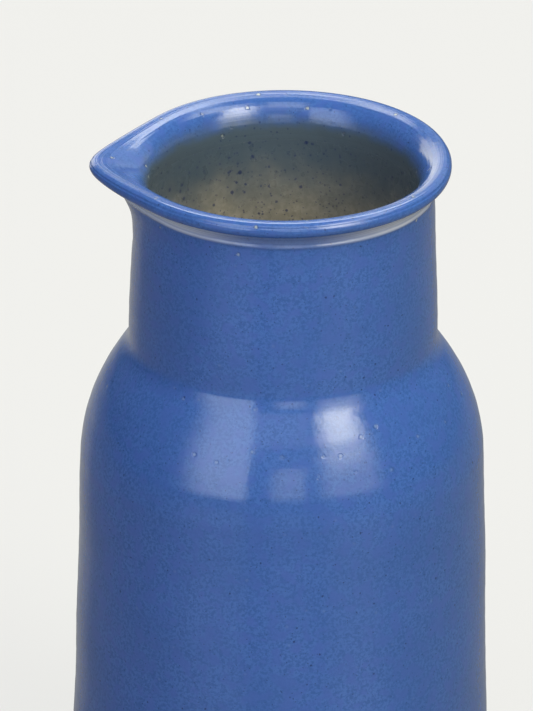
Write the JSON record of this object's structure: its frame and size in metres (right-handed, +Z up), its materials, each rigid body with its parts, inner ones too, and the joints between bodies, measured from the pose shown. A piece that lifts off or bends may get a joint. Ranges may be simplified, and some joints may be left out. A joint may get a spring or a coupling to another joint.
{
  "type": "pitcher",
  "caption": "Handleless glazed stoneware pitcher with a rounded shoulder, a straight neck, a rolled rim and one pulled pouring lip, blue outside and buff inside.",
  "frame": {"origin": "on the vertical axis, at the resting face of the foot ring", "axes": "+Z up along the axis of the pitcher; the pouring lip points along -X"},
  "size_m": [0.1108, 0.1108, 0.21],
  "materials": {
    "fired_clay": "matt buff stoneware, bare at the foot",
    "blue_glaze": "satin mid-blue glaze with dark specks and a few pinholes",
    "liner_glaze": "thin buff-grey liner glaze with blue specks"
  },
  "bodies": {
    "root": {"stoneware_body": "fired_clay", "outer_glaze": "blue_glaze", "liner_glaze": "liner_glaze"}
  },
  "joints": []
}
